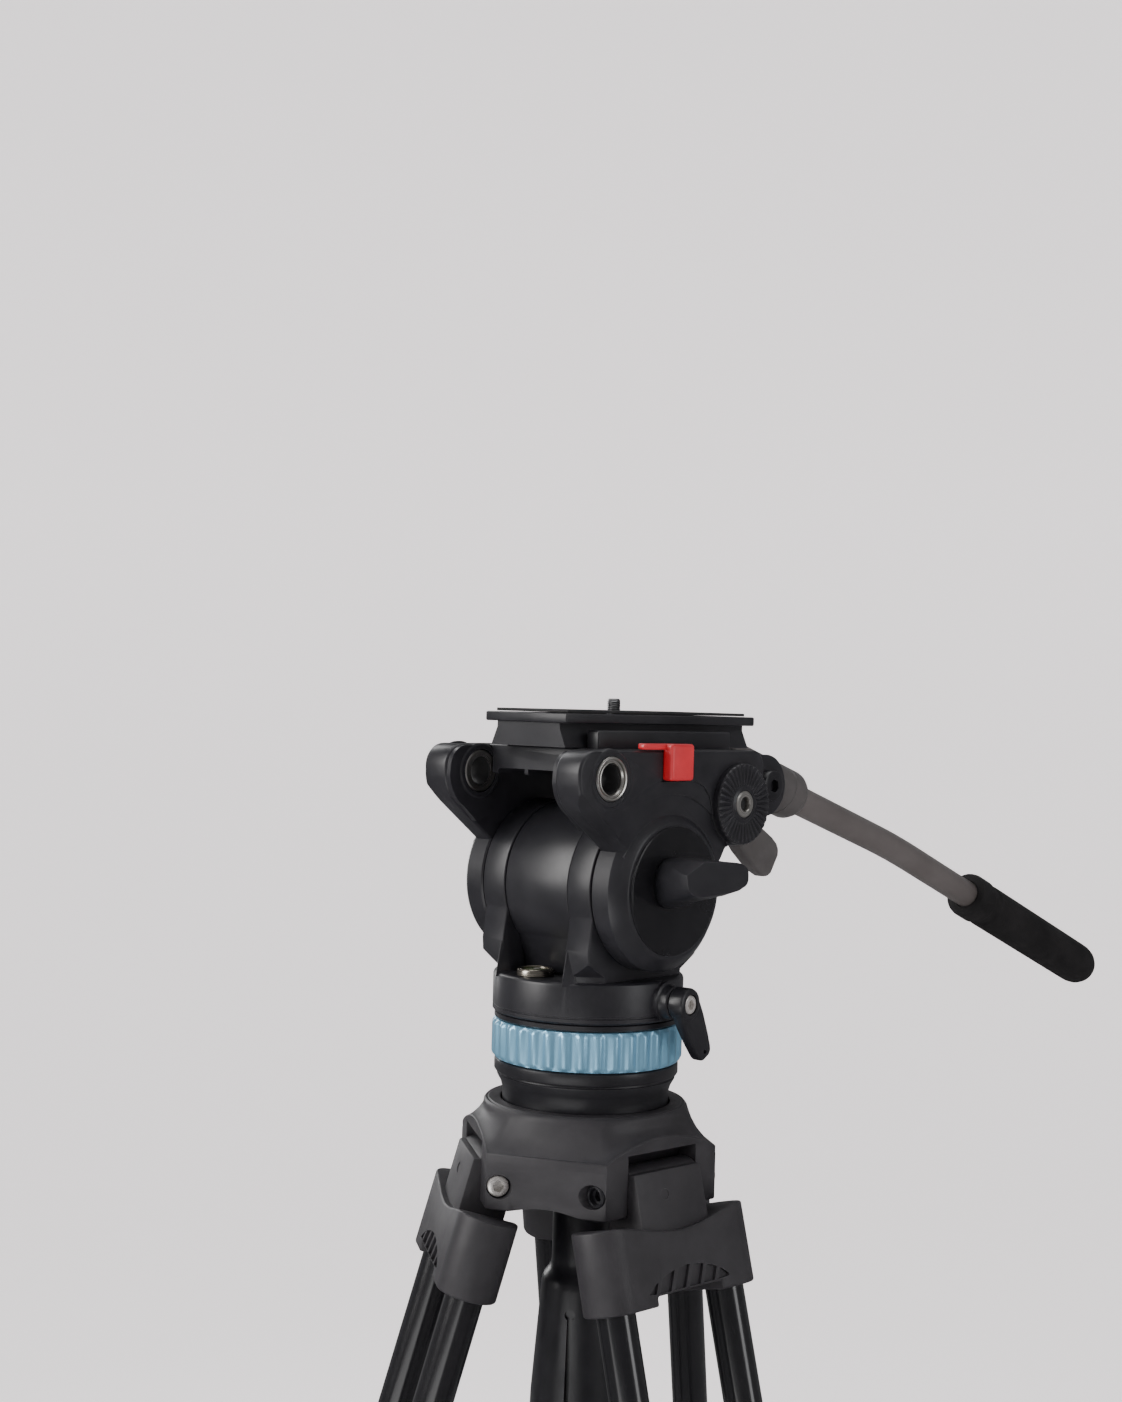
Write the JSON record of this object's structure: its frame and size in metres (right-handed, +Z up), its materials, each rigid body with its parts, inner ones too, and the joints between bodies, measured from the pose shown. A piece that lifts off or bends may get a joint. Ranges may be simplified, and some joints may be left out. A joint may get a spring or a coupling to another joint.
{
  "type": "video tripod with fluid head",
  "caption": "Video tripod with a fluid head: panning and tilting head with a sliding camera plate and pan bar, on a bowl levelled by a ball, over telescoping twin-tube legs.",
  "frame": {"origin": "on the floor, under the middle of the object's box", "axes": "+Z up; the head looks along -Y (the lens side) and the pan bar points to +Y; +X is the operator's left"},
  "size_m": [0.4734, 0.714, 1.056],
  "materials": {
    "black_anodised_tube": "gloss black",
    "black_foam": "foam",
    "black_rubber": "matte",
    "blue_anodised_aluminium": "satin anodised",
    "brass": "turned",
    "bright_steel": "bright",
    "grey_moulded_plastic": "matte",
    "red_plastic": "satin",
    "satin_black_paint": "satin",
    "satin_grey_metal": "satin",
    "turned_steel": "turned"
  },
  "bodies": {
    "crown": {"crown": "grey_moulded_plastic", "leg_1_hinge_pin": "bright_steel", "leg_2_hinge_pin": "bright_steel", "leg_3_hinge_pin": "bright_steel"},
    "leg_1": {"leg_1_shoulder": "grey_moulded_plastic", "leg_1_collar": "grey_moulded_plastic", "leg_1_tube_a": "black_anodised_tube", "leg_1_tube_b": "black_anodised_tube"},
    "leg_1_lever": {"leg_1_lock_lever": "satin_black_paint"},
    "leg_1_lower": {"leg_1_lower_tube": "black_anodised_tube", "leg_1_foot": "black_rubber"},
    "leg_2": {"leg_2_shoulder": "grey_moulded_plastic", "leg_2_collar": "grey_moulded_plastic", "leg_2_tube_a": "black_anodised_tube", "leg_2_tube_b": "black_anodised_tube"},
    "leg_2_lever": {"leg_2_lock_lever": "satin_black_paint"},
    "leg_2_lower": {"leg_2_lower_tube": "black_anodised_tube", "leg_2_foot": "black_rubber"},
    "leg_3": {"leg_3_shoulder": "grey_moulded_plastic", "leg_3_collar": "grey_moulded_plastic", "leg_3_tube_a": "black_anodised_tube", "leg_3_tube_b": "black_anodised_tube"},
    "leg_3_lever": {"leg_3_lock_lever": "satin_black_paint"},
    "leg_3_lower": {"leg_3_lower_tube": "black_anodised_tube", "leg_3_foot": "black_rubber"},
    "washer": {"tie_washer": "turned_steel"},
    "ball": {"half_ball": "satin_black_paint", "tie_rod": "turned_steel", "pan_spindle": "turned_steel"},
    "tie_handle": {"tie_handle": "satin_black_paint"},
    "clamp_ring": {"clamp_ring": "blue_anodised_aluminium"},
    "pan": {"pan_housing": "satin_black_paint", "tilt_drum": "satin_black_paint", "tilt_shaft": "turned_steel", "level_vial": "brass", "seat_ring": "satin_black_paint"},
    "pan_lock": {"pan_lock_lever": "satin_black_paint"},
    "tilt": {"platform": "satin_black_paint", "bar_arm": "satin_black_paint", "left_cheek": "satin_black_paint", "right_cheek": "satin_black_paint", "left_cover": "satin_black_paint", "right_cover": "satin_black_paint", "left_bushing": "bright_steel", "right_bushing": "bright_steel", "left_rosette": "satin_black_paint", "right_rosette": "satin_black_paint", "bar_pivot_bolt": "turned_steel"},
    "tilt_lock": {"tilt_lock_knob": "satin_black_paint"},
    "plate_lock": {"plate_lock_knob": "satin_black_paint"},
    "safety_button": {"safety_button": "red_plastic"},
    "plate": {"camera_plate": "satin_black_paint", "plate_pad": "black_rubber"},
    "screw": {"camera_screw": "turned_steel"},
    "bar": {"bar_clamp": "satin_grey_metal", "pan_bar": "satin_grey_metal", "bar_grip": "black_foam"},
    "bar_lock": {"bar_knob": "satin_grey_metal"}
  },
  "joints": [
    {"name": "leg_1_fold", "type": "hinge", "parent": "crown", "child": "leg_1", "pos_m": [-0.08675, -0.14355, 0.845], "axis": [0.829, -0.5592, 0], "range_deg": [0, 13]},
    {"name": "leg_1_lock", "type": "hinge", "parent": "leg_1", "child": "leg_1_lever", "pos_m": [-0.17896, -0.28025, 0.33087], "axis": [0.829, -0.5592, 0], "range_deg": [-60, 0]},
    {"name": "leg_1_extend", "type": "slide", "parent": "leg_1", "child": "leg_1_lower", "axis": [-0.1494, -0.2216, -0.9636], "range_m": [-0.225, 0.18]},
    {"name": "leg_2_fold", "type": "hinge", "parent": "crown", "child": "leg_2", "pos_m": [-0.0167, -0.10938, 0.845], "axis": [0.0698, 0.9976, 0], "range_deg": [0, 13]},
    {"name": "leg_2_lock", "type": "hinge", "parent": "leg_2", "child": "leg_2_lever", "pos_m": [0.14779, -0.12088, 0.33087], "axis": [0.0698, 0.9976, 0], "range_deg": [-60, 0]},
    {"name": "leg_2_extend", "type": "slide", "parent": "leg_2", "child": "leg_2_lower", "axis": [0.2666, -0.0186, -0.9636], "range_m": [-0.225, 0.18]},
    {"name": "leg_3_fold", "type": "hinge", "parent": "crown", "child": "leg_3", "pos_m": [-0.08132, -0.06579, 0.845], "axis": [-0.8988, -0.4384, 0], "range_deg": [0, 13]},
    {"name": "leg_3_lock", "type": "hinge", "parent": "leg_3", "child": "leg_3_lever", "pos_m": [-0.1536, 0.08241, 0.33087], "axis": [-0.8988, -0.4384, 0], "range_deg": [-60, 0]},
    {"name": "leg_3_extend", "type": "slide", "parent": "leg_3", "child": "leg_3_lower", "axis": [-0.1172, 0.2402, -0.9636], "range_m": [-0.225, 0.18]},
    {"name": "level_side", "type": "hinge", "parent": "crown", "child": "washer", "pos_m": [-0.06159, -0.10624, 0.876], "axis": [1, 0, 0], "range_deg": [-5, 5]},
    {"name": "level_front", "type": "hinge", "parent": "washer", "child": "ball", "pos_m": [-0.06159, -0.10624, 0.876], "axis": [0, 1, 0], "range_deg": [-5, 5]},
    {"name": "tie_handle_turn", "type": "hinge", "parent": "ball", "child": "tie_handle", "pos_m": [-0.06159, -0.10624, 0.816], "axis": [0, 0, 1], "continuous": true},
    {"name": "clamp_ring_turn", "type": "hinge", "parent": "ball", "child": "clamp_ring", "pos_m": [-0.06159, -0.10624, 0.894], "axis": [0, 0, 1], "continuous": true},
    {"name": "pan_turn", "type": "hinge", "parent": "ball", "child": "pan", "pos_m": [-0.06159, -0.10624, 0.915], "axis": [0, 0, 1], "continuous": true},
    {"name": "pan_lock_turn", "type": "hinge", "parent": "pan", "child": "pan_lock", "pos_m": [-0.01178, -0.10188, 0.924], "axis": [0.9962, 0.0872, 0], "range_deg": [-60, 60]},
    {"name": "tilt_turn", "type": "hinge", "parent": "pan", "child": "tilt", "pos_m": [-0.06159, -0.10624, 0.973], "axis": [1, 0, 0], "range_deg": [-45, 75]},
    {"name": "tilt_lock_turn", "type": "hinge", "parent": "tilt", "child": "tilt_lock", "pos_m": [-0.01159, -0.10624, 0.973], "axis": [1, 0, 0], "range_deg": [-90, 90]},
    {"name": "plate_lock_turn", "type": "hinge", "parent": "tilt", "child": "plate_lock", "pos_m": [-0.11159, -0.09424, 1.027], "axis": [1, 0, 0], "range_deg": [-180, 180]},
    {"name": "safety_button_press", "type": "slide", "parent": "tilt", "child": "safety_button", "axis": [-1, 0, 0], "range_m": [0, 0.0025]},
    {"name": "plate_slide", "type": "slide", "parent": "tilt", "child": "plate", "axis": [0, 1, 0], "range_m": [-0.03, 0]},
    {"name": "camera_screw_turn", "type": "hinge", "parent": "plate", "child": "screw", "pos_m": [-0.06159, -0.09424, 1.039], "axis": [0, 0, 1], "continuous": true},
    {"name": "bar_angle", "type": "hinge", "parent": "tilt", "child": "bar", "pos_m": [-0.06159, -0.00224, 1.016], "axis": [1, 0, 0], "range_deg": [-25, 50]},
    {"name": "bar_lock_turn", "type": "hinge", "parent": "bar", "child": "bar_lock", "pos_m": [-0.06759, -0.00078, 0.99581], "axis": [0, -0.8462, 0.5329], "continuous": true}
  ]
}
